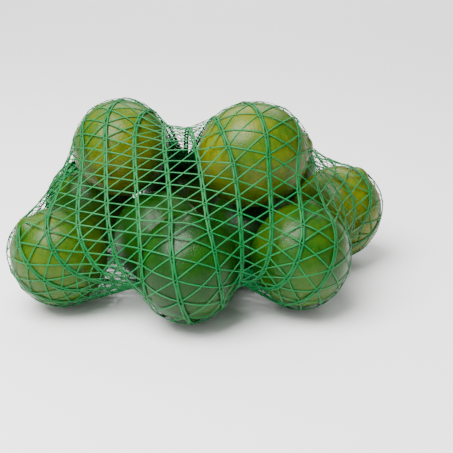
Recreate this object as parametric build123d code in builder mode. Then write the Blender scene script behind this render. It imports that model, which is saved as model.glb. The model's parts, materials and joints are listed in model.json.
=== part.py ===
from build123d import *
import math
import os

import numpy as np

# Mesh produce bag: a knitted net tube drawn tight round eleven limes, gathered and clipped at both
# ends. Millimetres, +Z up, standing on z = 0. The bag's long side is along X and its front faces -Y.

# Driving dimensions
LIME_DIAMETER = 54.0
LIME_LENGTH = 61.0
NIPPLE_RADIUS = 6.0
NIPPLE_HEIGHT = 2.6
STEM_DIMPLE_RADIUS = 3.4
STEM_DIMPLE_DEPTH = 1.0
STEM_INSET = 1.2
LIME_GAP = 0.4

NET_WALL = 0.8
NET_CLEARANCE = 0.6
FACET_SAG = 0.5
REST_GAP = 0.05
NECK_RADIUS = 4.6

BUNCH_RADIUS = 3.3
CLIP_GRIP_CLEARANCE = 0.05
CLIP_WALL = 1.2
CLIP_WIDTH = 4.5
CLIP_CORNER = 0.5
TAIL_FLARE_RADIUS = 7.5
TAIL_EDGE_RADIUS = 1.2
TOP_TAIL_LENGTH = 22.0
BUNCH_INSIDE = 1.5
BOTTOM_STAND_OFF = 1.6
FLOOR_CLEARANCE = 0.5
KNOT_RADIUS = 4.2
KNOT_CLEARANCE = 0.35
KNOT_TO_CLIP = 5.3

# Where the two ends are gathered, in lime diameters, and which way each neck points
BOTTOM_GATHER = (3 / 54, -1 / 54, 16 / 54)
BOTTOM_NECK = (0.0, 0.0, -1.0)
TOP_GATHER = (-11 / 54, 60 / 54, 59.5 / 54)
TOP_NECK = (-0.22, 0.65, 0.73)
TOP_TAIL_LIES = (-0.5, 0.84, 0.13)

# Each lime: centre in lime diameters, lean and compass turn of its axis in degrees, relative size
LIMES = {
    "lime_front": ((-0.13, -0.70, 0.57), (84, 60), 1.00),
    "lime_left": ((-1.44, -0.33, 0.53), (50, 200), 0.97),
    "lime_right": ((0.97, -0.34, 0.56), (80, 20), 1.00),
    "lime_rear_right": ((1.48, 0.93, 0.52), (60, 10), 1.00),
    "lime_rear_left": ((-1.28, 1.06, 0.60), (60, 130), 1.00),
    "lime_rear": ((-0.26, 1.56, 0.52), (30, 80), 0.98),
    "lime_shoulder": ((0.86, 1.58, 0.84), (20, 60), 0.96),
    "lime_core_left": ((-0.46, 0.26, 0.52), (15, 100), 0.98),
    "lime_core_right": ((0.56, 0.42, 0.52), (20, 60), 0.98),
    "lime_top_left": ((-0.87, 0.62, 1.36), (20, 80), 1.02),
    "lime_top_right": ((0.52, 0.12, 1.50), (8, 5), 1.08),
}

SETTLE_ROUNDS = 300
NET_COLUMNS = 48
NET_ROWS = 32
NET_ROUNDS = 900
UNDER_ROWS = 5
EDGE_ROUNDS = 12
CHAIN_PULL = 0.8


def unit(vector):
    """The vector scaled to a length of one."""
    vector = np.asarray(vector, dtype=float)
    return vector / np.linalg.norm(vector)


def settled_limes():
    """Centre, axis and size of each lime, pushed apart to LIME_GAP and up off the net on the floor."""
    names = list(LIMES)
    centres = np.array([LIMES[name][0] for name in names]) * LIME_DIAMETER
    leans = np.radians([LIMES[name][1][0] for name in names])
    turns = np.radians([LIMES[name][1][1] for name in names])
    sizes = np.array([LIMES[name][2] for name in names])
    axes = np.stack([np.cos(leans) * np.cos(turns), np.cos(leans) * np.sin(turns), np.sin(leans)], axis=1)
    across = sizes * LIME_DIAMETER / 2
    along = sizes * LIME_LENGTH / 2

    def reach(index, direction):
        """How far a lime reaches from its centre in a direction."""
        share = axes[index] @ direction
        return math.hypot(across[index] * math.sqrt(max(0.0, 1 - share**2)), along[index] * share)

    lowest = NET_CLEARANCE + FACET_SAG + NET_WALL + REST_GAP
    for _ in range(SETTLE_ROUNDS):
        for one in range(len(names)):
            for other in range(one + 1, len(names)):
                apart = centres[other] - centres[one]
                direction = unit(apart)
                overlap = reach(one, direction) + reach(other, direction) + LIME_GAP - apart @ direction
                if overlap > 0:
                    centres[one] -= direction * overlap / 2
                    centres[other] += direction * overlap / 2
            floor = reach(one, np.array([0.0, 0.0, 1.0])) + lowest
            centres[one][2] = max(centres[one][2], floor)
    return {name: (centres[i], axes[i], sizes[i]) for i, name in enumerate(names)}


def off_the_limes(points, fruit, margin, middle=None):
    """Points in a lime grown by the margin, moved to its skin away from its centre or the bag's middle."""
    for centre, axis, size in fruit.values():
        source = centre if middle is None else middle
        across = size * LIME_DIAMETER / 2 + margin
        along = size * LIME_LENGTH / 2 + margin

        def stretched(vectors):
            """Vectors in a space where the grown lime is a ball of radius one."""
            height = vectors @ axis
            return (vectors - height[..., None] * axis) / across + height[..., None] * axis / along

        ray = stretched(points - source)
        start = stretched(source - centre)
        a = (ray**2).sum(axis=-1)
        b = ray @ start
        c = start @ start - 1
        root = b**2 - a * c
        leaves = (np.sqrt(np.maximum(root, 0.0)) - b) / a
        points = source + (points - source) * np.where(root > 0, np.maximum(leaves, 1.0), 1.0)[..., None]
    return points


def neck_ring(centre, neck, radius, columns, start):
    """A circle of points round a neck, its first point on the side nearest to start."""
    neck = unit(neck)
    first = unit(start - (start @ neck) * neck)
    second = np.cross(neck, first)
    angles = np.linspace(0, 2 * math.pi, columns, endpoint=False)[:, None]
    return centre + radius * (np.cos(angles) * first + np.sin(angles) * second)


def taut_net(fruit, margin):
    """Rows of points on a tube drawn tight round the limes, from the bottom gather to the top one."""
    bottom = LIME_DIAMETER * np.array(BOTTOM_GATHER)
    top = LIME_DIAMETER * np.array(TOP_GATHER)
    middle = np.mean([centre for centre, _, _ in fruit.values()], axis=0)
    reach = max(np.linalg.norm(centre - middle) for centre, _, _ in fruit.values()) + LIME_LENGTH
    upward = -unit(BOTTOM_NECK)
    left = np.array([-1.0, 0.0, 0.0])
    rows = [neck_ring(bottom, upward, NECK_RADIUS, NET_COLUMNS, left)]
    for row in range(1, NET_ROWS):
        share = row / NET_ROWS
        angle = math.pi * (share - 0.5)
        pole = unit(upward * (1 - share) + unit(TOP_NECK) * share)
        level = middle + pole * reach * math.sin(angle)
        rows.append(neck_ring(level, pole, reach * math.cos(angle), NET_COLUMNS, left))
    rows.append(neck_ring(top, unit(TOP_NECK), NECK_RADIUS, NET_COLUMNS, left))
    net = np.array(rows)
    for _ in range(NET_ROUNDS):
        beside = (np.roll(net, 1, axis=1) + np.roll(net, -1, axis=1))[1:-1] / 2
        before_and_after = (net[:-2] + net[2:]) / 2
        inner = CHAIN_PULL * before_and_after + (1 - CHAIN_PULL) * beside
        inner[:UNDER_ROWS] = off_the_limes(inner[:UNDER_ROWS], fruit, margin)
        inner[UNDER_ROWS:] = off_the_limes(inner[UNDER_ROWS:], fruit, margin, middle)
        inner[..., 2] = np.maximum(inner[..., 2], 0.0)
        net[1:-1] = inner
    for _ in range(EDGE_ROUNDS):
        net[1:-1] = lifted_edges(net, fruit, margin)[1:-1]
    return net


def lifted_edges(net, fruit, margin):
    """Points raised until the middle of each facet's edges is clear of the limes too."""
    raised = net.copy()
    for rows_on, columns_on in ((0, 1), (1, 0), (1, 1)):
        last = len(net) - rows_on
        halfway = (raised[:last] + np.roll(raised, -columns_on, axis=1)[rows_on:]) / 2
        push = off_the_limes(halfway, fruit, margin) - halfway
        raised[:last] += push
        raised[rows_on:] += np.roll(push, columns_on, axis=1)
    raised[..., 2] = np.maximum(raised[..., 2], 0.0)
    return raised


def thinned(net, wall):
    """The same rows moved inwards by the wall, and at the two necks straight towards their middles."""
    around = np.roll(net, -1, axis=1) - np.roll(net, 1, axis=1)
    along = np.zeros_like(net)
    along[1:-1] = net[2:] - net[:-2]
    outward = np.cross(around, along)
    outward[0] = net[0] - net[0].mean(axis=0)
    outward[-1] = net[-1] - net[-1].mean(axis=0)
    return net - wall * outward / np.linalg.norm(outward, axis=-1, keepdims=True)


def strip_facets(lower, upper):
    """Triangles that join two rows of points, each row a closed ring."""
    facets = []
    for column in range(len(lower)):
        beyond = (column + 1) % len(lower)
        facets.append((lower[column], lower[beyond], upper[beyond]))
        facets.append((lower[column], upper[beyond], upper[column]))
    return facets


def skin_solid(outside, inside):
    """A thin closed solid between two nets, with a flat rim round each neck."""
    facets = []
    for row in range(len(outside) - 1):
        facets += strip_facets(outside[row], outside[row + 1])
        facets += strip_facets(inside[row + 1], inside[row])
    facets += strip_facets(inside[0], outside[0])
    facets += strip_facets(outside[-1], inside[-1])
    faces = [Face(Wire.make_polygon([tuple(corner) for corner in facet])) for facet in facets]
    return Solid(Shell(faces))


def save(part, name):
    """Label a finished piece and write it to its own file."""
    part.label = name
    export_step(part, f"parts/{name}.step")


os.makedirs("parts", exist_ok=True)
fruit = settled_limes()
outside = taut_net(fruit, NET_CLEARANCE + FACET_SAG + NET_WALL)

# The origin is the middle of the net's footprint, so everything moves there with the net
corners = outside.min(axis=(0, 1)) + outside.max(axis=(0, 1))
home = np.array([-corners[0] / 2, -corners[1] / 2, 0.0])
outside += home
inside = thinned(outside, NET_WALL)
fruit = {name: (centre + home, axis, size) for name, (centre, axis, size) in fruit.items()}

# Limes: revolved spindles with a blunt nipple at the blossom end and a dimple at the stem end
for name, (centre, axis, size) in fruit.items():
    radius = size * LIME_DIAMETER / 2
    half = size * LIME_LENGTH / 2
    blossom = half - size * NIPPLE_HEIGHT
    base = half - STEM_INSET
    sideways = unit(np.cross(axis, [0.3, 0.2, 0.9]))
    profile = Plane(tuple(centre), x_dir=tuple(sideways), z_dir=tuple(np.cross(sideways, axis)))
    with BuildPart() as lime:
        with BuildSketch(profile):
            with BuildLine():
                stem = (0, STEM_DIMPLE_DEPTH - base)
                rim = (STEM_DIMPLE_RADIUS, -base * math.sqrt(1 - (STEM_DIMPLE_RADIUS / radius) ** 2))
                belly = []
                for turn in (-60, -30, 0, 30, 60):
                    reach = blossom if turn > 0 else base
                    around = math.radians(turn)
                    belly.append((radius * math.cos(around), reach * math.sin(around)))
                nipple = (NIPPLE_RADIUS, blossom * math.sqrt(1 - (NIPPLE_RADIUS / radius) ** 2))
                tip = (0, half)
                Spline(stem, rim, *belly, nipple, tip, tangents=[(1, 0), (-1, 0)])
                Line(tip, stem)
            make_face()
        revolve(axis=Axis(tuple(centre), tuple(axis)))
    save(lime.part, name)

# Net tube: a thin closed skin the outer shape of the drawn net, open only at its two necks
with BuildPart() as net_tube:
    add(skin_solid(outside, inside))
save(net_tube.part, "net_tube")
print("net_tube", net_tube.part.volume, net_tube.part.bounding_box(), len(net_tube.part.solids()))


def tail_piece(origin, along, starts, clip_end, ends, knot_radius):
    """A bunched net end: a round bunch through the clip that flares to its cut end."""
    along = unit(along)
    sideways = unit(np.cross(along, [0.3, 0.9, 0.2]))
    profile = Plane(tuple(origin), x_dir=tuple(sideways), z_dir=tuple(np.cross(sideways, along)))
    with BuildPart() as tail:
        with BuildSketch(profile):
            with BuildLine():
                foot = (0, starts)
                bunch = (BUNCH_RADIUS, starts)
                waist = (BUNCH_RADIUS, clip_end)
                hem = (TAIL_FLARE_RADIUS, ends - TAIL_EDGE_RADIUS)
                brim = (TAIL_FLARE_RADIUS - TAIL_EDGE_RADIUS, ends)
                middle = (0, ends)
                Line(foot, bunch)
                Line(bunch, waist)
                Spline(waist, hem, tangents=[(0, 1), (0.35, 1)])
                ThreePointArc(hem, (TAIL_FLARE_RADIUS - 0.2 * TAIL_EDGE_RADIUS, ends - 0.3 * TAIL_EDGE_RADIUS), brim)
                Line(brim, middle)
                Line(middle, foot)
            make_face()
        revolve(axis=Axis(tuple(origin), tuple(along)))
        if knot_radius:
            with Locations(tuple(origin)):
                Sphere(knot_radius)
    return tail.part


def clip_piece(origin, along, starts):
    """A crimped aluminium clip: a rounded square band closed round the bunch."""
    along = unit(along)
    sideways = unit(np.cross(along, [0.3, 0.9, 0.2]))
    base = Plane(tuple(origin + starts * along), x_dir=tuple(sideways), z_dir=tuple(along))
    bore = BUNCH_RADIUS + CLIP_GRIP_CLEARANCE
    with BuildPart() as clip:
        with BuildSketch(base):
            RectangleRounded(2 * (bore + CLIP_WALL), 2 * (bore + CLIP_WALL), bore)
            Circle(bore, mode=Mode.SUBTRACT)
        extrude(amount=CLIP_WIDTH)
        rims = clip.faces().sort_by(Axis(tuple(origin), tuple(along)))
        fillet(rims[0].outer_wire().edges() + rims[-1].outer_wire().edges(), CLIP_CORNER)
    return clip.part


# Bottom end: the bunch leaves its neck downwards, through the clip, and its cut end stays off the floor
bottom = LIME_DIAMETER * np.array(BOTTOM_GATHER) + home
bottom_clip_end = BOTTOM_STAND_OFF + CLIP_WIDTH
bottom_end = bottom[2] - FLOOR_CLEARANCE
save(tail_piece(bottom, BOTTOM_NECK, -BUNCH_INSIDE, bottom_clip_end, bottom_end, 0), "bottom_tail")
save(clip_piece(bottom, BOTTOM_NECK, BOTTOM_STAND_OFF), "bottom_clip")

# Top end: a round knot of net rests just off the neck's rim, and the clip and the tail swing about it
rim_radius = NECK_RADIUS - NET_WALL
knot_rise = math.sqrt((KNOT_RADIUS + KNOT_CLEARANCE) ** 2 - rim_radius**2)
knot = LIME_DIAMETER * np.array(TOP_GATHER) + home + knot_rise * unit(TOP_NECK)
top_clip_end = KNOT_TO_CLIP + CLIP_WIDTH
save(tail_piece(knot, TOP_TAIL_LIES, 0, top_clip_end, top_clip_end + TOP_TAIL_LENGTH, KNOT_RADIUS), "top_tail")
save(clip_piece(knot, TOP_TAIL_LIES, KNOT_TO_CLIP), "top_clip")
swing_axis = unit(np.cross(TOP_TAIL_LIES, TOP_NECK))
print("neck swing: pivot", np.round(knot, 2), "axis", np.round(swing_axis, 4))
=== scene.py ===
"""Mesh produce bag: a knitted net tube drawn tight round limes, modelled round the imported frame."""
import json
import math
from functools import lru_cache

import bpy
import numpy as np
from mathutils import Matrix, Vector


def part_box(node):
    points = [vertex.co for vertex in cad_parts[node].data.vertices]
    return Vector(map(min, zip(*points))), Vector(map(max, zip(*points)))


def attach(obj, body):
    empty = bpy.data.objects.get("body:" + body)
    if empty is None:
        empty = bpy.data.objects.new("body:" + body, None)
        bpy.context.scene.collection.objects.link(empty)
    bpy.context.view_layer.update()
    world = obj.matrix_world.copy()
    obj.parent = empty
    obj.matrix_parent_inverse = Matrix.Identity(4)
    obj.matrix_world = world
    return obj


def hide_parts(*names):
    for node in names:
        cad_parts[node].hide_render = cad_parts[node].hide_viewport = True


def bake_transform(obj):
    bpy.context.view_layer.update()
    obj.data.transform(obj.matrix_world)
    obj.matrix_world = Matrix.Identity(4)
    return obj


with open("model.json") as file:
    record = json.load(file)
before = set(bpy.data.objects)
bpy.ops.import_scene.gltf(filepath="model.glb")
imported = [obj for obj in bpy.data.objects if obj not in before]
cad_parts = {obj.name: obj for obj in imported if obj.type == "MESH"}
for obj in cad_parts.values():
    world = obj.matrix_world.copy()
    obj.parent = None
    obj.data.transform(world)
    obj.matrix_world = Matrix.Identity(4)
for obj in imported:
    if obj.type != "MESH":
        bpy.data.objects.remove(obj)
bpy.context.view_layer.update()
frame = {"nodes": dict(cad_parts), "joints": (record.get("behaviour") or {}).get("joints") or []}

bl_info = {
    "name": "Mesh Produce Bag",
    "version": (1, 0, 0),
    "blender": (4, 5, 0),
    "location": "View3D > Sidebar > Mesh bag",
    "description": "A knitted net bag of limes, gathered and clipped at both ends",
    "category": "Add Mesh",
}

MM = 0.001
UP = np.array([0.0, 0.0, 1.0])
LEFT = np.array([-1.0, 0.0, 0.0])

# The two bodies that every piece rides on
BAG = "filled_bag"
NECK = "neck"

# How far each lime is from deep green to olive yellow. This is partly the lime's own ripeness and
# partly painted light: the upper limes under the key light are set paler, and the core limes deep in
# the bag are set darker as painted shade.
RIPENESS_AND_PAINTED_LIGHT = {
    "lime_front": 0.12,
    "lime_left": 0.62,
    "lime_right": 0.45,
    "lime_rear_right": 0.80,
    "lime_rear_left": 0.55,
    "lime_rear": 0.50,
    "lime_shoulder": 0.75,
    "lime_core_left": 0.20,
    "lime_core_right": 0.25,
    "lime_top_left": 0.70,
    "lime_top_right": 0.82,
}

# A lime's ends: the nipple's height, the radius that is pulled out and how far the skin follows
NIPPLE = 2.6 * MM
NIPPLE_RADIUS = 2.2 * MM
NIPPLE_REACH = 7.5 * MM
# The dimple round the stem scar, and the scar's raised rim as (width, height) of two insets
DIMPLE = 1.5 * MM
DIMPLE_REACH = 6 * MM
DIMPLE_SHARE = 1.2
SCAR_RIMS = ((0.25 * MM, -0.2 * MM), (0.35 * MM, 0.55 * MM))
# The noise level at which the lumpy skin neither swells nor dips
EVEN_SKIN = 0.62
# How much riper the stem end is than the rest of the lime
STEM_GLOW = 0.12

# Clearances of the net from the limes, of the thin strands from the limes, and over the floor
NET_MARGIN = 0.45 * MM
LACING_MARGIN = 0.3 * MM
RESTING_HEIGHT = 0.55 * MM
# Height under which the net stretches down to the floor
STRETCH_HEIGHT = 4 * MM

# The loose net starts as a balloon of this radius, larger than the bag
START_RADIUS = 0.18
# Rounds of pulling straight for the coarse net and for the net at twice its pitch
COARSE_ROUNDS = 700
FINE_ROUNDS = 300
# Rows next to the bottom gather that lie under the limes, in the coarse net
UNDER_ROWS = 6
# Points and rounds used to level the knots
LEVEL_POINTS = 360
LEVEL_ROUNDS = 250
# Points to a course along a chain, and rounds of smoothing along it
SAMPLES = 6
SMOOTH_ROUNDS = 6

# The gathers: bunch radius at a rim, and shares of it for the layers the strands lie in
RIM_RADIUS = 3.9 * MM
LAYERS = (1.0, 0.62, 0.84, 0.42)
# Width of a bunched chain as a share of a free one
BUNCHED = 0.6
# The bottom gather's rim stands this far above its clip, and its cut end this far off the floor
RIM_OVER_CLIP = 1.6 * MM
CUT_END_HEIGHT = 0.8 * MM
# Distances down from the bottom rim: the clip's two ends, where the tail opens, and its cut end
BOTTOM_PLACES = (RIM_OVER_CLIP, 6.1 * MM, 9.5 * MM, 15.2 * MM)
# Degrees between the top gather and its tail, which the net turns through at its knot
NECK_BEND = 40.5
# The top rim stands this far before the pivot, and the knot ends this far beyond it
RIM_TO_PIVOT = 2.5 * MM
KNOT_END = 5.6 * MM
# Distances along the tail from the pivot: the clip's two ends, and where the tail opens
TOP_PLACES = (5.3 * MM, 9.8 * MM, 15 * MM)
# Share of the tail's length that its uneven cut end reaches
TAIL_SHARE = 0.97
# Radii where the two tails open, before they flare at their cut ends
BOTTOM_OPENING = 4.8 * MM
TOP_OPENING = 4.6 * MM

# A chain's knot, as shares of a course: how far its hole and its pinched ribbons reach
HOLE_REACH = 0.17
PINCH_REACH = 0.2
PINCH = 0.28
# Half the distance between the two ribbons, as a share of their width
RIBBON_APART = 0.47
# How far the ribbons rise over each other between knots, and how far they tilt apart
RIBBON_LIFT = 0.10 * MM
RIBBON_TILT = 0.22
# The loop that ties a knot: its points, half its span in ribbon widths, and its rise and fall
LOOP_POINTS = 5
LOOP_SPAN = 1.12
LOOP_RISE = 0.42
LOOP_FALL = 0.62
LOOP_WIDTH = 0.62 * MM
LOOP_THICKNESS = 0.24 * MM
# Points of a crossing strand in one course, its rise where it crosses over, and its base level
LACING_POINTS = 10
LACING_RISE = 0.22
LACING_LEVEL = -0.12

# Sections of a strip, in half widths and half thicknesses
HEXAGON = ((1.0, 0.0), (0.55, 1.0), (-0.55, 1.0), (-1.0, 0.0), (-0.55, -1.0), (0.55, -1.0))
DIAMOND = ((1.0, 0.0), (0.0, 1.0), (-1.0, 0.0), (0.0, -1.0))


def linear(colour):
    """An sRGB hex string as a linear RGBA colour."""
    channels = [int(colour[i : i + 2], 16) / 255 for i in (1, 3, 5)]
    channels = [c / 12.92 if c <= 0.04045 else ((c + 0.055) / 1.055) ** 2.4 for c in channels]
    return (*channels, 1.0)


# Sizes and colours that a user may change


class BagNetSettings(bpy.types.PropertyGroup):
    """The knitted net: chains that run from gather to gather, laced together in crosses."""

    chains: bpy.props.IntProperty(
        name="Chains",
        description="Chains of stitches round the tube",
        default=40,
        min=8,
        max=60,
    )
    courses: bpy.props.IntProperty(
        name="Courses",
        description="Rows of knots between the two necks",
        default=41,
        min=10,
        max=80,
    )
    chain_pull: bpy.props.FloatProperty(
        name="Chain pull",
        description="Share of the net's tension that the chains carry",
        default=0.93,
        min=0.5,
        max=0.96,
        subtype="FACTOR",
    )
    drag: bpy.props.FloatProperty(
        name="Drag",
        description="Courses by which the net is dragged up on its right side",
        default=1.2,
        min=-4,
        max=4,
    )
    levelling: bpy.props.FloatProperty(
        name="Levelling",
        description="How far knots keep level with the next chain's knots",
        default=0.25,
        min=0,
        max=0.9,
        subtype="FACTOR",
    )
    slack_rounds: bpy.props.IntProperty(
        name="Sliding rounds",
        description="How long the drawn net slides freely and sinks between the limes",
        default=120,
    )
    bunch_radius: bpy.props.FloatProperty(
        name="Bunch radius",
        description="Radius of the bunched net inside a clip",
        default=2.8 * MM,
        unit="LENGTH",
    )
    flare_radius: bpy.props.FloatProperty(
        name="Flare radius",
        description="Radius of a tail at its cut end",
        default=7.0 * MM,
        unit="LENGTH",
    )
    ribbon_width: bpy.props.FloatProperty(
        name="Ribbon width",
        description="Width of each of a chain's two ribbons",
        default=1.35 * MM,
        unit="LENGTH",
    )
    ribbon_thickness: bpy.props.FloatProperty(
        name="Ribbon thickness",
        description="Thickness of a chain's ribbons",
        default=0.34 * MM,
        unit="LENGTH",
    )
    stitch_hole: bpy.props.FloatProperty(
        name="Stitch hole",
        description="How far the ribbons part at a knot",
        default=0.42 * MM,
        unit="LENGTH",
    )
    lacing_width: bpy.props.FloatProperty(
        name="Lacing width",
        description="Width of the crossing strands",
        default=0.8 * MM,
        unit="LENGTH",
    )
    lacing_thickness: bpy.props.FloatProperty(
        name="Lacing thickness",
        description="Thickness of the crossing strands",
        default=0.26 * MM,
        unit="LENGTH",
    )
    chain_colour: bpy.props.FloatVectorProperty(
        name="Chain colour",
        description="Colour of the doubled ribbons",
        default=linear("#005726")[:3],
        subtype="COLOR",
    )
    lacing_colour: bpy.props.FloatVectorProperty(
        name="Lacing colour",
        description="Colour of the single strands",
        default=linear("#00632E")[:3],
        subtype="COLOR",
    )


class BagFruitSettings(bpy.types.PropertyGroup):
    """The limes."""

    lumps: bpy.props.FloatProperty(
        name="Lumps",
        description="How far the skin swells and dips",
        default=1.3 * MM,
        unit="LENGTH",
    )
    lump_size: bpy.props.FloatProperty(
        name="Lump size",
        description="Distance from one swelling to the next",
        default=24 * MM,
        unit="LENGTH",
    )
    stem_scar: bpy.props.FloatProperty(
        name="Stem scar",
        description="Radius of the dry scar at the stem end",
        default=2.3 * MM,
        unit="LENGTH",
    )
    pore_pitch: bpy.props.FloatProperty(
        name="Pore pitch",
        description="Distance between oil glands in the rind",
        default=1.25 * MM,
        unit="LENGTH",
    )


class BagStageSettings(bpy.types.PropertyGroup):
    """The floor, the lights and the camera."""

    elevation: bpy.props.FloatProperty(
        name="Camera elevation",
        description="How far the camera looks down",
        default=math.radians(21),
        subtype="ANGLE",
    )
    distance: bpy.props.FloatProperty(
        name="Camera distance",
        description="From the camera to the point it aims at",
        default=0.545,
        unit="LENGTH",
    )
    lens: bpy.props.FloatProperty(
        name="Lens",
        description="Focal length in millimetres",
        default=77.0,
        unit="CAMERA",
    )
    aim: bpy.props.FloatVectorProperty(
        name="Aim",
        description="Point that the camera looks at",
        default=(0.0118, -0.0245, 0.0415),
        subtype="XYZ",
        unit="LENGTH",
    )
    key_power: bpy.props.FloatProperty(
        name="Key light",
        description="Power of the large softbox over the bag",
        default=29.0,
        unit="POWER",
    )
    fill_power: bpy.props.FloatProperty(
        name="Fill light",
        description="Power of the front fill",
        default=2.0,
        unit="POWER",
    )
    sweep_power: bpy.props.FloatProperty(
        name="Sweep light",
        description="Power of the light on the sweep behind",
        default=60.0,
        unit="POWER",
    )
    ambient: bpy.props.FloatProperty(
        name="Ambient",
        description="Strength of the even white light from all round",
        default=0.5,
    )
    floor_size: bpy.props.FloatProperty(
        name="Floor size",
        description="Side of the sweep, which reaches past every view",
        default=6.0,
        unit="LENGTH",
    )
    floor_colour: bpy.props.FloatVectorProperty(
        name="Floor colour",
        description="Colour of the sweep",
        default=linear("#F5F5F4")[:3],
        subtype="COLOR",
    )


# Small tools


def unit(vectors):
    """Vectors scaled to a length of one."""
    vectors = np.asarray(vectors, dtype=float)
    return vectors / np.maximum(np.linalg.norm(vectors, axis=-1, keepdims=True), 1e-12)


def turned(vectors, axis, angle):
    """Vectors turned about an axis by an angle."""
    return np.asarray(vectors) @ np.array(Matrix.Rotation(angle, 3, Vector(axis))).T


def deselect():
    """Leave object mode with nothing selected."""
    if bpy.context.object and bpy.context.object.mode != "OBJECT":
        bpy.ops.object.mode_set(mode="OBJECT")
    bpy.ops.object.select_all(action="DESELECT")


def add_node(tree, kind, inputs=None, **settings):
    """A shader node with its settings, its inputs filled with values or linked from sockets."""
    node = tree.nodes.new(kind)
    for name, value in settings.items():
        setattr(node, name, value)
    for socket, value in (inputs or {}).items():
        if isinstance(value, bpy.types.NodeSocket):
            tree.links.new(value, node.inputs[socket])
        else:
            node.inputs[socket].default_value = value
    return node


def new_material(name):
    """An empty node material, its tree and its surface output."""
    material = bpy.data.materials.new(name)
    material.use_nodes = True
    tree = material.node_tree
    tree.nodes.clear()
    return material, tree, tree.nodes.new("ShaderNodeOutputMaterial")


def ramp(tree, factor, stops):
    """A colour ramp over a factor, from (position, sRGB hex) stops."""
    node = add_node(tree, "ShaderNodeValToRGB", {"Fac": factor})
    elements = node.color_ramp.elements
    for index, (position, colour) in enumerate(stops):
        stop = elements[index] if index < 2 else elements.new(position)
        stop.position = position
        stop.color = linear(colour)
    return node.outputs["Color"]


def blended(tree, factor, first, second):
    """Two colours mixed by a factor."""
    node = add_node(
        tree, "ShaderNodeMix", {0: factor, 6: first, 7: second}, data_type="RGBA", blend_type="MIX"
    )
    return node.outputs[2]


def maths(tree, operation, first, second=0.0):
    """The result of one sum."""
    return add_node(tree, "ShaderNodeMath", {0: first, 1: second}, operation=operation).outputs[0]


def noise(tree, where, size, detail):
    """Noise over a vector, with features of about that size."""
    inputs = {"Vector": where, "Scale": 1 / size, "Detail": detail}
    return add_node(tree, "ShaderNodeTexNoise", inputs).outputs["Fac"]


def swing(tree, value, amount):
    """A noise value, centred on nothing, times an amount."""
    return maths(tree, "MULTIPLY", maths(tree, "SUBTRACT", value, 0.5), amount)


# Materials


@lru_cache(maxsize=None)
def lime_rind():
    """Waxed lime rind: grown skin with oil glands, so it is pitted, mottled and softly glossy."""
    fruit = bpy.context.scene.bag_fruit
    # Broad patches are where the fruit saw more sun, and small blotches mottle them
    patch_size, patch_share = 26 * MM, 1.1
    blotch_size, blotch_share = 3.2 * MM, 0.35
    gland_share = 0.3
    material, tree, out = new_material("waxed_lime_rind")
    where = add_node(tree, "ShaderNodeTexCoord").outputs["Object"]
    ripeness_and_painted_light = add_node(tree, "ShaderNodeAttribute", attribute_name="ripeness_and_painted_light").outputs["Fac"]
    scar = add_node(tree, "ShaderNodeAttribute", attribute_name="scar").outputs["Fac"]
    patches = noise(tree, where, patch_size, 3.0)
    blotches = noise(tree, where, blotch_size, 4.0)
    # Real oil glands are about 1 mm apart or less, so these are drawn a little coarser to show
    glands = add_node(
        tree, "ShaderNodeTexVoronoi", {"Vector": where, "Scale": 1 / fruit.pore_pitch}
    ).outputs["Distance"]
    # The ramp's factor is each lime's tone, partly ripeness and partly painted light and shade,
    # shifted by sun patches and blotches
    shifted = maths(tree, "ADD", ripeness_and_painted_light, swing(tree, patches, patch_share))
    ripe_and_painted_light_share = maths(tree, "ADD", shifted, swing(tree, blotches, blotch_share))
    stops = [(0.0, "#053000"), (0.35, "#134400"), (0.7, "#385402"), (1.0, "#5E6604")]
    rind = ramp(tree, ripe_and_painted_light_share, stops)
    pit = add_node(
        tree, "ShaderNodeMapRange", {"Value": glands, "From Min": 0.05, "From Max": 0.42}
    ).outputs["Result"]
    in_pit = maths(tree, "MULTIPLY", maths(tree, "SUBTRACT", 1.0, pit), gland_share)
    oily = blended(tree, in_pit, rind, linear("#0B2602"))
    colour = blended(tree, scar, oily, linear("#4A3D1C"))
    dimples = add_node(
        tree, "ShaderNodeBump", {"Height": pit, "Strength": 0.45, "Distance": 0.22 * MM}
    ).outputs["Normal"]
    skin = add_node(
        tree,
        "ShaderNodeBump",
        {"Height": blotches, "Strength": 0.3, "Distance": 0.5 * MM, "Normal": dimples},
    ).outputs["Normal"]
    gloss = add_node(
        tree, "ShaderNodeMapRange", {"Value": blotches, "To Min": 0.27, "To Max": 0.38}
    ).outputs["Result"]
    shader = add_node(
        tree,
        "ShaderNodeBsdfPrincipled",
        {
            "Base Color": colour,
            "Roughness": gloss,
            "IOR": 1.46,
            "Subsurface Weight": 0.06,
            "Subsurface Radius": (0.9, 1.0, 0.2),
            "Subsurface Scale": 2.0 * MM,
            "Specular IOR Level": 0.2,
            "Coat Weight": 0.06,
            "Coat Roughness": 0.25,
            "Coat IOR": 1.45,
            "Normal": skin,
        },
    )
    tree.links.new(shader.outputs[0], out.inputs["Surface"])
    return material


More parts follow.
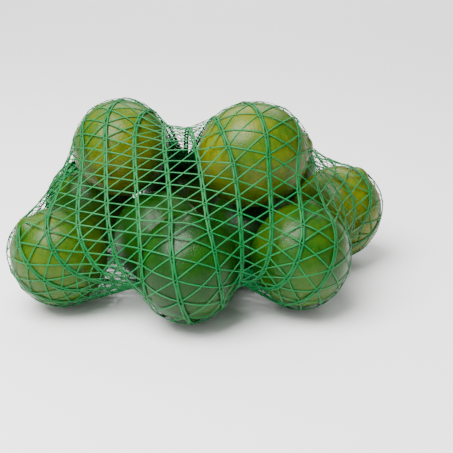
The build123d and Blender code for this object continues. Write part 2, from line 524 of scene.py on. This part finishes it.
@lru_cache(maxsize=None)
def drawn_polythene(name, colour, glow):
    """Slit and drawn polythene tape: it is streaked along its length and has a soft sheen."""
    # Where the tape is drawn thinner it is paler, and where it is thicker it is deeper
    pale_share, pale_lift, deep_share = 1.5, 0.003, 0.55
    streak_share = 0.45
    material, tree, out = new_material(name)
    along = add_node(tree, "ShaderNodeTexCoord").outputs["UV"]
    where = add_node(tree, "ShaderNodeTexCoord").outputs["Object"]
    # The UV map runs once round a tape, and in millimetres along it. Real drawing streaks are
    # hair-fine, so these are drawn as coarse as they need to show: 9 round a tape, 3 mm long.
    stretch = add_node(tree, "ShaderNodeMapping", {"Vector": along, "Scale": (9.0, 0.35, 1.0)})
    streaks = noise(tree, stretch.outputs["Vector"], 1.0, 3.0)
    drawn = noise(tree, where, 14 * MM, 2.0)
    pale = tuple(min(1.0, c * pale_share + pale_lift) for c in colour) + (1.0,)
    deep = tuple(c * deep_share for c in colour) + (1.0,)
    body = blended(tree, drawn, deep, pale)
    tape = blended(tree, maths(tree, "MULTIPLY", streaks, streak_share), body, pale)
    grain = add_node(
        tree, "ShaderNodeBump", {"Height": streaks, "Strength": 0.35, "Distance": 0.06 * MM}
    )
    shader = add_node(
        tree,
        "ShaderNodeBsdfPrincipled",
        {
            "Base Color": tape,
            "Roughness": 0.42,
            "IOR": 1.51,
            "Specular IOR Level": 0.16,
            "Subsurface Weight": glow,
            "Subsurface Radius": (0.3, 1.0, 0.6),
            "Subsurface Scale": 0.6 * MM,
            "Normal": grain.outputs["Normal"],
        },
    )
    tree.links.new(shader.outputs[0], out.inputs["Surface"])
    return material


@lru_cache(maxsize=None)
def rolled_aluminium():
    """Rolled aluminium wire, crimped shut: bright, with drawing marks that vary its tone and
    roughness.
    """
    # Real drawing marks are a few hundredths of a millimetre wide, so these are drawn as coarse
    # as they need to show
    mark_width, mark_length = 0.3 * MM, 3 * MM
    material, tree, out = new_material("rolled_aluminium")
    where = add_node(tree, "ShaderNodeTexCoord").outputs["Object"]
    marks = add_node(
        tree,
        "ShaderNodeMapping",
        {"Vector": where, "Scale": (1 / mark_width, 1 / mark_width, 1 / mark_length)},
    )
    lines = noise(tree, marks.outputs["Vector"], 1.0, 3.0)
    rough = add_node(tree, "ShaderNodeMapRange", {"Value": lines, "To Min": 0.22, "To Max": 0.48})
    relief = add_node(
        tree, "ShaderNodeBump", {"Height": lines, "Strength": 0.3, "Distance": 0.05 * MM}
    )
    shader = add_node(
        tree,
        "ShaderNodeBsdfPrincipled",
        {
            "Base Color": ramp(tree, lines, [(0.3, "#A9ACAF"), (0.7, "#D2D4D6")]),
            "Metallic": 1.0,
            "Roughness": rough.outputs["Result"],
            "Normal": relief.outputs["Normal"],
        },
    )
    tree.links.new(shader.outputs[0], out.inputs["Surface"])
    return material


@lru_cache(maxsize=None)
def matt_board(colour):
    """Matt white board: pressed pulp, so it is even and barely mottled, with no shine."""
    # Real fibres are far too fine to show, so the mottle is drawn at 1.5 mm
    mottle_size, shade = 1.5 * MM, 0.985
    material, tree, out = new_material("matt_board")
    where = add_node(tree, "ShaderNodeTexCoord").outputs["Object"]
    mottle = noise(tree, where, mottle_size, 3.0)
    tone = blended(tree, mottle, (*colour, 1.0), tuple(c * shade for c in colour) + (1.0,))
    shader = add_node(tree, "ShaderNodeBsdfPrincipled", {"Base Color": tone, "Roughness": 0.85})
    tree.links.new(shader.outputs[0], out.inputs["Surface"])
    return material


# The limes


def node_mesh(node):
    """Points and triangle corners of a CAD node."""
    mesh = frame["nodes"][node].data
    mesh.calc_loop_triangles()
    points = np.empty(len(mesh.vertices) * 3)
    mesh.vertices.foreach_get("co", points)
    corners = np.empty(len(mesh.loop_triangles) * 3, dtype=np.int64)
    mesh.loop_triangles.foreach_get("vertices", corners)
    return points.reshape(-1, 3), corners.reshape(-1, 3)


@lru_cache(maxsize=None)
def lime_shape(node):
    """Centre, axis towards the nipple, radius and half length of a lime, from its CAD node."""
    points, corners = node_mesh(node)
    # Each triangle makes a tetrahedron with the origin. Their volumes, centroids and second
    # moments add up to the lime's, and the moments' longest direction is its axis.
    a, b, c = (points[corners[:, i]] for i in range(3))
    total = a + b + c
    six_volumes = np.einsum("ij,ij->i", a, np.cross(b, c))
    volume = six_volumes.sum() / 6
    centroid = (six_volumes[:, None] * total).sum(axis=0) / (24 * volume)
    second = sum(np.einsum("i,ij,ik->jk", six_volumes, v, v) for v in (a, b, c, total)) / 120
    spread = second / volume - np.outer(centroid, centroid)
    axis = np.linalg.eigh(spread)[1][:, -1]
    height = (points - centroid) @ axis
    if height.max() < -height.min():
        axis = -axis
        height = -height
    centre = centroid + axis * (height.max() + height.min()) / 2
    away = points - centre
    radius = np.sqrt((away**2).sum(axis=1) - (away @ axis) ** 2).max()
    return centre, axis, radius, (height.max() - height.min()) / 2


def select_cap(mesh, side, radius):
    """Select the points near one pole of a lime that stands on its stem end."""
    for vertex in mesh.vertices:
        near = math.hypot(vertex.co.x, vertex.co.y) < radius
        vertex.select = near and vertex.co.z * side > 0
    for edge in mesh.edges:
        edge.select = all(mesh.vertices[i].select for i in edge.vertices)
    for face in mesh.polygons:
        face.select = all(mesh.vertices[i].select for i in face.vertices)


def pull_cap(lime, side, radius, pull, reach):
    """Pull the points near a pole along the lime's axis, the skin around them following."""
    bpy.ops.object.mode_set(mode="OBJECT")
    select_cap(lime.data, side, radius)
    bpy.ops.object.mode_set(mode="EDIT")
    bpy.ops.transform.translate(
        value=(0, 0, pull),
        use_proportional_edit=True,
        proportional_edit_falloff="SMOOTH",
        proportional_size=reach,
    )


def add_point_values(mesh, name, values):
    """Store a value at each point of a mesh."""
    attribute = mesh.attributes.new(name, "FLOAT", "POINT")
    attribute.data.foreach_set("value", np.asarray(values, dtype=np.float32))


def swell_skin(lime):
    """Push a lime's skin out and in, in lumps that differ from lime to lime."""
    fruit = bpy.context.scene.bag_fruit
    texture = bpy.data.textures.new(lime.name + "_lumps", "CLOUDS")
    texture.noise_scale = fruit.lump_size
    texture.noise_depth = 1
    lumps = lime.modifiers.new("Lumps", "DISPLACE")
    lumps.texture = texture
    lumps.texture_coords = "GLOBAL"
    lumps.strength = fruit.lumps
    lumps.mid_level = EVEN_SKIN
    bpy.ops.object.modifier_apply(modifier=lumps.name)


def model_lime(node):
    """One lime in place of its CAD node: a lumpy spindle with a nipple and a dimpled stem scar."""
    fruit = bpy.context.scene.bag_fruit
    centre, axis, radius, half = lime_shape(node)
    deselect()
    bpy.ops.mesh.primitive_uv_sphere_add(segments=80, ring_count=56, radius=1)
    lime = bpy.context.object
    lime.name = node.replace("lime_", "fruit_")
    bpy.ops.object.mode_set(mode="EDIT")
    bpy.ops.mesh.select_all(action="SELECT")
    bpy.ops.transform.resize(value=(radius, radius, half - NIPPLE / 2))
    pull_cap(lime, 1, NIPPLE_RADIUS, NIPPLE, NIPPLE_REACH)
    pull_cap(lime, -1, fruit.stem_scar * DIMPLE_SHARE, DIMPLE, DIMPLE_REACH)
    bpy.ops.object.mode_set(mode="OBJECT")
    select_cap(lime.data, -1, fruit.stem_scar)
    bpy.ops.object.mode_set(mode="EDIT")
    bpy.ops.mesh.select_mode(type="FACE")
    for width, height in SCAR_RIMS:
        bpy.ops.mesh.inset(thickness=width, depth=height)
    bpy.ops.mesh.select_all(action="DESELECT")
    bpy.ops.object.mode_set(mode="OBJECT")
    lime.matrix_world = Matrix.LocRotScale(
        Vector(centre), Vector(axis).to_track_quat("Z", "Y"), None
    )
    swell_skin(lime)
    heights = np.array([vertex.co.z for vertex in lime.data.vertices])
    from_axis = np.array([math.hypot(vertex.co.x, vertex.co.y) for vertex in lime.data.vertices])
    # The scar is full out to 0.6 of its radius, and fades out at 1.6
    scar = np.where(heights < 0, np.clip(1.6 - from_axis / fruit.stem_scar, 0, 1), 0)
    stem_glow = np.clip(-heights / half, 0, 1) ** 2 * STEM_GLOW
    add_point_values(lime.data, "scar", scar)
    # Each lime's tone, with its stem end riper, is partly ripeness and partly painted light and shade
    add_point_values(lime.data, "ripeness_and_painted_light", np.full(len(heights), RIPENESS_AND_PAINTED_LIGHT[node]) + stem_glow)
    bpy.ops.object.transform_apply(location=True, rotation=True, scale=True)
    bpy.ops.object.shade_smooth()
    lime.data.materials.append(lime_rind())
    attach(lime, BAG)
    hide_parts(node)


# The drawn net


def off_the_limes(points, margin, middle=None):
    """Points in a lime grown by the margin, moved to its skin from its centre or the bag's."""
    for node in RIPENESS_AND_PAINTED_LIGHT:
        centre, axis, radius, half = lime_shape(node)
        source = centre if middle is None else middle

        def stretched(vectors):
            """Vectors in a space where the grown lime is a ball of radius one."""
            height = vectors @ axis
            across = (vectors - height[..., None] * axis) / (radius + margin)
            return across + height[..., None] * axis / (half + margin)

        # A point moves along its ray from the source to where the ray leaves the ball
        ray = stretched(points - source)
        start = stretched(source - centre)
        a = np.maximum((ray**2).sum(axis=-1), 1e-12)
        b = ray @ start
        root = b**2 - a * (start @ start - 1)
        leaves = (np.sqrt(np.maximum(root, 0.0)) - b) / a
        stretch = np.where(root > 0, np.maximum(leaves, 1.0), 1.0)[..., None]
        points = source + (points - source) * stretch
    return points


@lru_cache(maxsize=None)
def neck_facts():
    """Rim, pivot, swing axis, tail direction, neck direction and tail length of the top gather."""
    joint = frame["joints"][0]
    pivot = np.array(joint["pos_m"])
    swing_axis = unit(joint["axis"])
    points, _ = node_mesh("top_tail")
    distance = np.linalg.norm(points - pivot, axis=1)
    tail_length = distance.max()
    tail = unit(points[distance > TAIL_SHARE * tail_length].mean(axis=0) - pivot)
    neck = turned(tail, swing_axis, math.radians(NECK_BEND))
    rim = pivot - RIM_TO_PIVOT * neck
    return rim, pivot, swing_axis, tail, neck, tail_length * TAIL_SHARE


@lru_cache(maxsize=None)
def bottom_rim():
    """Middle of the bottom gather's rim, above the bottom clip."""
    low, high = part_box("bottom_clip")
    return np.array([(low.x + high.x) / 2, (low.y + high.y) / 2, high.z + RIM_OVER_CLIP])


def across_neck(neck):
    """Two directions across a neck, the first nearest to -X."""
    first = unit(LEFT - (LEFT @ neck) * neck)
    return first, np.cross(neck, first)


def bunch_ring(centre, neck, columns):
    """A rim's points, in layers because so many strands don't fit side by side."""
    first, second = across_neck(unit(neck))
    angles = np.linspace(0, 2 * math.pi, columns, endpoint=False)[:, None]
    layers = np.array([LAYERS[i % len(LAYERS)] for i in range(columns)])[:, None]
    return centre + RIM_RADIUS * layers * (np.cos(angles) * first + np.sin(angles) * second)


def start_net(columns, rows, middle, bottom, top, neck):
    """A loose balloon of points round the bag, its ends bunched at the two rims."""
    angles = np.linspace(0, 2 * math.pi, columns, endpoint=False)[:, None]
    net = [bunch_ring(bottom, UP, columns)]
    for row in range(1, rows):
        share = row / rows
        rise = math.pi * (share - 0.5)
        pole = unit(UP * (1 - share) + neck * share)
        first, second = across_neck(pole)
        ring = np.cos(angles) * first + np.sin(angles) * second
        net.append(middle + START_RADIUS * (math.sin(rise) * pole + math.cos(rise) * ring))
    net.append(bunch_ring(top, neck, columns))
    return np.array(net)


def drawn_tight(net, middle, rounds, under_rows):
    """The net after its strands have pulled straight, held off the limes and the floor.

    The rows under the limes are pushed out from each lime's centre, and the others from the
    bag's middle, so that no strand is caught between two limes.
    """
    pull = bpy.context.scene.bag_net.chain_pull
    for _ in range(rounds):
        beside = (np.roll(net, 1, axis=1) + np.roll(net, -1, axis=1))[1:-1] / 2
        before_and_after = (net[:-2] + net[2:]) / 2
        inner = pull * before_and_after + (1 - pull) * beside
        inner[:under_rows] = off_the_limes(inner[:under_rows], NET_MARGIN)
        inner[under_rows:] = off_the_limes(inner[under_rows:], NET_MARGIN, middle)
        inner[..., 2] = np.maximum(inner[..., 2], NET_MARGIN)
        net[1:-1] = inner
    return net


def doubled(net):
    """The same net with a row between each two rows and a column between each two columns."""
    rows = np.empty((2 * len(net) - 1, *net.shape[1:]))
    rows[::2] = net
    rows[1::2] = (net[:-1] + net[1:]) / 2
    both = np.empty((len(rows), 2 * rows.shape[1], 3))
    both[:, ::2] = rows
    both[:, 1::2] = (rows + np.roll(rows, -1, axis=1)) / 2
    return both


def net_normals(net):
    """The outward direction at each of a net's points."""
    around = np.roll(net, -1, axis=1) - np.roll(net, 1, axis=1)
    along = np.empty_like(net)
    along[1:-1] = net[2:] - net[:-2]
    along[0] = net[1] - net[0]
    along[-1] = net[-1] - net[-2]
    normals = unit(np.cross(around, along))
    for rim in (0, -1):
        normals[rim] = unit(net[rim] - net[rim].mean(axis=0))
    return normals


def settled_on_floor(paths):
    """The same paths with the net under the fruit let down until its lowest point rests."""
    lowest = paths[..., 2].min()
    share = np.clip((STRETCH_HEIGHT - paths[..., 2]) / (STRETCH_HEIGHT - lowest), 0, 1)
    paths[..., 2] -= share * (lowest - RESTING_HEIGHT)
    return paths


def level_knots(lines, travelled):
    """Where each chain's knots lie, as shares of its length.

    They are evenly spaced, but for a pull that keeps them level with the chains beside them.
    """
    knit = bpy.context.scene.bag_net
    share = np.linspace(0, 1, LEVEL_POINTS)
    fine = np.empty((knit.chains, len(share), 3))
    for chain in range(knit.chains):
        wanted = share * travelled[-1, chain]
        for axis in range(3):
            fine[chain, :, axis] = np.interp(wanted, travelled[:, chain], lines[:, chain, axis])
    level = {}
    for chain in range(knit.chains):
        for side in (-1, 1):
            other = fine[(chain + side) % knit.chains]
            gaps = ((other[:, None] - fine[chain][None]) ** 2).sum(axis=2)
            level[chain, side] = share[gaps.argmin(axis=1)]
    knots = np.tile(np.linspace(0, 1, knit.courses + 1), (knit.chains, 1))
    for _ in range(LEVEL_ROUNDS):
        beside = np.empty_like(knots)
        for chain in range(knit.chains):
            before = np.interp(knots[chain - 1], share, level[chain, -1])
            after = np.interp(knots[(chain + 1) % knit.chains], share, level[chain, 1])
            beside[chain] = (before + after) / 2
        even = (knots[:, :-2] + knots[:, 2:]) / 2
        knots[:, 1:-1] = (1 - knit.levelling) * even + knit.levelling * beside[:, 1:-1]
    return knots


@lru_cache(maxsize=None)
def net_paths():
    """Points and outward normals along every chain, SAMPLES to a course, from rim to rim."""
    knit = bpy.context.scene.bag_net
    top, _, _, _, neck, _ = neck_facts()
    middle = np.mean([lime_shape(node)[0] for node in RIPENESS_AND_PAINTED_LIGHT], axis=0)
    net = start_net(knit.chains, knit.courses, middle, bottom_rim(), top, neck)
    net = drawn_tight(net, middle, COARSE_ROUNDS, UNDER_ROWS)
    net = drawn_tight(doubled(net), middle, FINE_ROUNDS, 2 * UNDER_ROWS)
    # Last the whole net slides freely over each lime, and sinks between them
    net = drawn_tight(net, middle, knit.slack_rounds, len(net))
    normals = net_normals(net)
    lines = net[:, ::2]
    steps = np.linalg.norm(np.diff(lines, axis=0), axis=2)
    travelled = np.concatenate([np.zeros((1, knit.chains)), np.cumsum(steps, axis=0)])
    knots = level_knots(lines, travelled)
    share = np.linspace(0, 1, knit.courses * SAMPLES + 1)
    paths = np.empty((knit.chains, len(share), 3))
    facing = np.empty_like(paths)
    for chain in range(knit.chains):
        dragged = -knit.drag / knit.courses * math.cos(2 * math.pi * chain / knit.chains)
        reached = share + dragged * np.sin(math.pi * share)
        course = np.interp(reached * knit.courses, np.arange(knit.courses + 1), knots[chain])
        wanted = travelled[-1, chain] * course
        for axis in range(3):
            paths[chain, :, axis] = np.interp(wanted, travelled[:, chain], lines[:, chain, axis])
            facing[chain, :, axis] = np.interp(
                wanted, travelled[:, chain], normals[:, 2 * chain, axis]
            )
    for _ in range(SMOOTH_ROUNDS):
        paths[:, 1:-1] = (paths[:, :-2] + 2 * paths[:, 1:-1] + paths[:, 2:]) / 4
        facing[:, 1:-1] = (facing[:, :-2] + 2 * facing[:, 1:-1] + facing[:, 2:]) / 4
    paths = settled_on_floor(off_the_limes(paths, NET_MARGIN))
    return paths, unit(facing)


# Strips: the flat tapes that every strand is made of


def strip_along(path, normals, width, thickness, section=HEXAGON):
    """Points and faces of one flat tape along a path, lying flat against the normals' surface."""
    tangents = unit(np.gradient(path, axis=0))
    sides = unit(np.cross(normals, tangents))
    up = np.cross(tangents, sides)
    width = np.broadcast_to(width, len(path))[:, None, None]
    thickness = np.broadcast_to(thickness, len(path))[:, None, None]
    shape = np.array(section)
    points = (
        path[:, None]
        + sides[:, None] * shape[None, :, :1] * width / 2
        + up[:, None] * shape[None, :, 1:] * thickness / 2
    )
    count = len(section)
    faces = [tuple(reversed(range(count)))]
    for ring in range(len(path) - 1):
        base = ring * count
        for corner in range(count):
            beyond = (corner + 1) % count
            above = base + count
            faces.append((base + corner, base + beyond, above + beyond, above + corner))
    last = (len(path) - 1) * count
    faces.append(tuple(range(last, last + count)))
    steps = np.linalg.norm(np.diff(path, axis=0), axis=1)
    lengths = np.concatenate([[0], np.cumsum(steps)]) / MM
    uvs = [(corner / count, length) for length in lengths for corner in range(count)]
    return points.reshape(-1, 3), faces, uvs


def add_strips(name, strips, material):
    """One mesh object of many tapes, with its place in its mesh."""
    points, faces, uvs = [], [], []
    offset = 0
    for strip_points, strip_faces, strip_uvs in strips:
        points.append(strip_points)
        faces += [tuple(corner + offset for corner in face) for face in strip_faces]
        uvs += strip_uvs
        offset += len(strip_points)
    mesh = bpy.data.meshes.new(name)
    mesh.from_pydata(np.concatenate(points).tolist(), [], faces)
    layer = mesh.uv_layers.new(name="Tape")
    corners = np.empty(len(mesh.loops), dtype=np.int64)
    mesh.loops.foreach_get("vertex_index", corners)
    layer.data.foreach_set("uv", np.array(uvs, dtype=np.float32)[corners].ravel())
    mesh.polygons.foreach_set("use_smooth", np.ones(len(mesh.polygons), dtype=bool))
    mesh.materials.append(material)
    piece = bpy.data.objects.new(name, mesh)
    bpy.context.scene.collection.objects.link(piece)
    return piece


def chain_strips(path, normals, narrow=1.0):
    """The two ribbons of one chain, parted at each knot, and the loop that ties them there."""
    knit = bpy.context.scene.bag_net
    sides = unit(np.cross(normals, unit(np.gradient(path, axis=0))))
    course = np.arange(len(path)) / SAMPLES
    from_knot = np.abs(course - np.round(course))
    hole = knit.stitch_hole * np.exp(-((from_knot / HOLE_REACH) ** 2))
    apart = (knit.ribbon_width * RIBBON_APART + hole) * narrow
    pinched = 1 - PINCH * np.exp(-((from_knot / PINCH_REACH) ** 2))
    width = knit.ribbon_width * pinched * narrow
    lift = RIBBON_LIFT * np.sin(course * math.pi * 2)
    strips = []
    for hand in (-1, 1):
        ribbon = path + sides * (hand * apart)[:, None] + normals * (hand * lift)[:, None]
        tilt = unit(normals + sides * hand * RIBBON_TILT)
        strips.append(strip_along(ribbon, tilt, width, knit.ribbon_thickness))
    across = np.linspace(-1, 1, LOOP_POINTS)
    for at in range(SAMPLES - 1, len(path) - 2, SAMPLES):
        arch = (
            path[at]
            + sides[at] * (across * knit.ribbon_width * LOOP_SPAN * narrow)[:, None]
            + normals[at] * ((LOOP_RISE - LOOP_FALL * across**2) * MM)[:, None]
        )
        facing = np.repeat(normals[at : at + 1], LOOP_POINTS, axis=0)
        strips.append(strip_along(arch, facing, LOOP_WIDTH, LOOP_THICKNESS, DIAMOND))
    return strips


def lacing_strips(path, normals, next_path, next_normals):
    """The two strands that zigzag between one chain and the next and cross in every course."""
    knit = bpy.context.scene.bag_net
    courses = (len(path) - 1) // SAMPLES
    share = np.linspace(0, 1, LACING_POINTS)[:, None]
    bow = np.sin(share * math.pi)
    sides = ((path, normals), (next_path, next_normals))
    strips = []
    for hand in (0, 1):
        points, facing = [], []
        for course in range(courses):
            (start, start_normal), (stop, stop_normal) = (
                [line[step * SAMPLES] for line in sides[(step + hand) % 2]]
                for step in (course, course + 1)
            )
            across = unit(start_normal * (1 - share) + stop_normal * share)
            strand = off_the_limes(start * (1 - share) + stop * share, LACING_MARGIN)
            # The strands take turns to cross over one another
            rise = (LACING_RISE if (hand + course) % 2 else 0.0) * bow + LACING_LEVEL
            points.append((strand + across * rise * MM)[:-1])
            facing.append(across[:-1])
        points.append(stop[None])
        facing.append(stop_normal[None])
        strand, facing = np.concatenate(points), unit(np.concatenate(facing))
        strips.append(strip_along(strand, facing, knit.lacing_width, knit.lacing_thickness))
    return strips


def tape_material(name, colour, glow=0.05):
    """Drawn polythene in one of the net's colours."""
    return drawn_polythene(name, tuple(colour), glow)


def ride_net(piece, body, node):
    """A piece of the net rides on a body, where one is given, and stands for a CAD node, which it
    hides.
    """
    if body:
        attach(piece, body)
    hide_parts(node)


# The bunched ends


def bunch_strips(centres, firsts, seconds, radii, cut=True):
    """Every chain along a bunch with that middle line, those directions across it and radii."""
    knit = bpy.context.scene.bag_net
    strips = []
    for chain in range(knit.chains):
        angle = 2 * math.pi * chain / knit.chains
        # A cut end is uneven: its chains stop up to three points short
        count = len(centres) - ((chain * 5) % 4 if cut else 0)
        outward = (math.cos(angle) * firsts + math.sin(angle) * seconds)[:count]
        path = centres[:count] + outward * (radii[:count] * LAYERS[chain % len(LAYERS)])[:, None]
        strips += chain_strips(path, outward, narrow=BUNCHED)
    return strips


def model_bottom_tail():
    """The bunched end under the bag, from its rim through the clip to its cut edge."""
    knit = bpy.context.scene.bag_net
    rim = bottom_rim()
    count = 20
    firsts, seconds = (np.tile(side, (count, 1)) for side in across_neck(UP))
    drop = np.linspace(0, rim[2] - CUT_END_HEIGHT, count)
    centres = rim - drop[:, None] * UP
    bunch = knit.bunch_radius
    radii = np.interp(
        drop, (0, *BOTTOM_PLACES), (RIM_RADIUS, bunch, bunch, BOTTOM_OPENING, knit.flare_radius)
    )
    strips = bunch_strips(centres, firsts, seconds, radii)
    material = tape_material("drawn_polythene_tail", knit.chain_colour)
    piece = add_strips("bottom_tail_net", strips, material)
    ride_net(piece, BAG, "bottom_tail")


def model_top_tail():
    """The bunched end behind the top limes: it turns at its knot, then runs through the clip."""
    knit = bpy.context.scene.bag_net
    bunch = knit.bunch_radius
    material = tape_material("drawn_polythene_tail", knit.chain_colour)
    rim, pivot, swing_axis, tail, neck, length = neck_facts()
    first, second = across_neck(neck)
    # The knot's middle line is a smooth arc from the rim round the pivot to the clip
    share = np.linspace(0, 1, 13)[:, None]
    clip_start = pivot + KNOT_END * tail
    centres = (1 - share) ** 2 * rim + 2 * share * (1 - share) * pivot + share**2 * clip_start
    bends = [-math.radians(NECK_BEND) * step for step in share[:, 0]]
    firsts = np.array([turned(first, swing_axis, bend) for bend in bends])
    seconds = np.array([turned(second, swing_axis, bend) for bend in bends])
    radii = np.interp(share[:, 0], (0, 0.4, 1), (RIM_RADIUS, RIM_RADIUS, bunch))
    strips = bunch_strips(centres, firsts, seconds, radii, cut=False)
    knot = add_strips("neck_knot_net", strips, material)
    ride_net(knot, None, "top_tail")
    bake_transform(knot)
    count = 26
    along = np.linspace(TOP_PLACES[0], length, count)
    centres = pivot + along[:, None] * tail
    radii = np.interp(along, (*TOP_PLACES, length), (bunch, bunch, TOP_OPENING, knit.flare_radius))
    ends = (np.tile(sides[-1], (count, 1)) for sides in (firsts, seconds))
    piece = add_strips("top_tail_net", bunch_strips(centres, *ends, radii), material)
    ride_net(piece, NECK, "top_tail")


# The operators, one for each piece or group of like pieces


class BAG_OT_stage(bpy.types.Operator):
    """Add the white sweep, the softboxes and the camera"""

    bl_idname = "bag.stage"
    bl_label = "Stage"

    def execute(self, context):
        settings = context.scene.bag_stage
        deselect()
        bpy.ops.mesh.primitive_plane_add(size=settings.floor_size, location=(0, 0, 0))
        floor = context.object
        floor.name = "floor"
        floor.data.materials.append(matt_board(tuple(settings.floor_colour)))
        world = bpy.data.worlds.new("studio")
        world.use_nodes = True
        background = world.node_tree.nodes["Background"]
        background.inputs["Color"].default_value = linear("#FFFFFF")
        background.inputs["Strength"].default_value = settings.ambient
        context.scene.world = world
        bag = Vector((0, 0, 0.04))
        # Each light's name, place, the point it faces, its side and its power
        for name, place, aimed_at, size, power in (
            ("softbox_over", (-0.3, -0.28, 0.85), bag, 0.7, settings.key_power),
            ("softbox_front", (-0.5, -0.9, 0.5), bag, 0.6, settings.fill_power),
            ("softbox_sweep", (0.0, 1.9, 1.4), Vector((0, 2.0, 0)), 2.2, settings.sweep_power),
        ):
            deselect()
            bpy.ops.object.light_add(type="AREA", location=place)
            light = context.object
            light.name = name
            light.data.size = size
            light.data.energy = power
            light.rotation_mode = "QUATERNION"
            light.rotation_quaternion = (Vector(place) - aimed_at).to_track_quat("Z", "Y")
        back = Vector((0, -math.cos(settings.elevation), math.sin(settings.elevation)))
        deselect()
        bpy.ops.object.camera_add(location=Vector(settings.aim) + back * settings.distance)
        camera = context.object
        camera.name = "camera"
        camera.rotation_mode = "QUATERNION"
        camera.rotation_quaternion = back.to_track_quat("Z", "Y")
        camera.data.lens = settings.lens
        camera.data.sensor_width = 36
        camera.data.clip_end = 20
        context.scene.camera = camera
        return {"FINISHED"}


class BAG_OT_limes(bpy.types.Operator):
    """Model the limes: uneven spindles with a nipple, a stem scar and a pored rind"""

    bl_idname = "bag.limes"
    bl_label = "Limes"

    def execute(self, context):
        for node in RIPENESS_AND_PAINTED_LIGHT:
            model_lime(node)
        return {"FINISHED"}


class BAG_OT_chains(bpy.types.Operator):
    """Knit the chains: two flat ribbons that part at each knot"""

    bl_idname = "bag.chains"
    bl_label = "Net chains"

    def execute(self, context):
        knit = context.scene.bag_net
        material = tape_material("drawn_polythene_chain", knit.chain_colour)
        paths, normals = net_paths()
        for chain in range(knit.chains):
            strips = chain_strips(paths[chain], normals[chain])
            piece = add_strips(f"chain_{chain + 1:02d}", strips, material)
            ride_net(piece, BAG, "net_tube")
        return {"FINISHED"}


class BAG_OT_lacing(bpy.types.Operator):
    """Lace the chains together with thin strands that cross in every course"""

    bl_idname = "bag.lacing"
    bl_label = "Net lacing"

    def execute(self, context):
        knit = context.scene.bag_net
        # A single strand lets more light through than a doubled ribbon
        material = tape_material("drawn_polythene_lacing", knit.lacing_colour, glow=0.12)
        paths, normals = net_paths()
        for chain in range(knit.chains):
            beyond = (chain + 1) % knit.chains
            strips = lacing_strips(paths[chain], normals[chain], paths[beyond], normals[beyond])
            piece = add_strips(f"lacing_{chain + 1:02d}", strips, material)
            ride_net(piece, BAG, "net_tube")
        return {"FINISHED"}


class BAG_OT_ends(bpy.types.Operator):
    """Bunch the net's two ends through their clips to their cut edges"""

    bl_idname = "bag.ends"
    bl_label = "Gathered ends"

    def execute(self, context):
        model_bottom_tail()
        model_top_tail()
        return {"FINISHED"}


class BAG_OT_clips(bpy.types.Operator):
    """Finish the two crimped clips"""

    bl_idname = "bag.clips"
    bl_label = "Crimped clips"

    def execute(self, context):
        for node in ("bottom_clip", "top_clip"):
            piece = frame["nodes"][node]
            piece.data.materials.clear()
            piece.data.materials.append(rolled_aluminium())
        return {"FINISHED"}


OPERATORS = (BAG_OT_stage, BAG_OT_limes, BAG_OT_chains, BAG_OT_lacing, BAG_OT_ends, BAG_OT_clips)


class BAG_PT_panel(bpy.types.Panel):
    """Lists the bag's pieces and their settings"""

    bl_idname = "BAG_PT_panel"
    bl_label = "Mesh bag"
    bl_space_type = "VIEW_3D"
    bl_region_type = "UI"
    bl_category = "Mesh bag"

    def draw(self, context):
        for operator in OPERATORS:
            self.layout.operator(operator.bl_idname)
        for group in (getattr(context.scene, name) for name in SETTINGS):
            box = self.layout.box()
            for name in group.bl_rna.properties.keys():
                if name not in ("rna_type", "name"):
                    box.prop(group, name)


SETTINGS = {"bag_net": BagNetSettings, "bag_fruit": BagFruitSettings, "bag_stage": BagStageSettings}


def register():
    for group in SETTINGS.values():
        bpy.utils.register_class(group)
    for name, group in SETTINGS.items():
        setattr(bpy.types.Scene, name, bpy.props.PointerProperty(type=group))
    for cls in (*OPERATORS, BAG_PT_panel):
        bpy.utils.register_class(cls)


def unregister():
    for cls in (BAG_PT_panel, *reversed(OPERATORS)):
        bpy.utils.unregister_class(cls)
    for name, group in SETTINGS.items():
        delattr(bpy.types.Scene, name)
        bpy.utils.unregister_class(group)


def main():
    """Make every piece in order."""
    register()
    for operator in OPERATORS:
        kind, name = operator.bl_idname.split(".")
        getattr(getattr(bpy.ops, kind), name)()


if __name__ == "__main__":
    main()
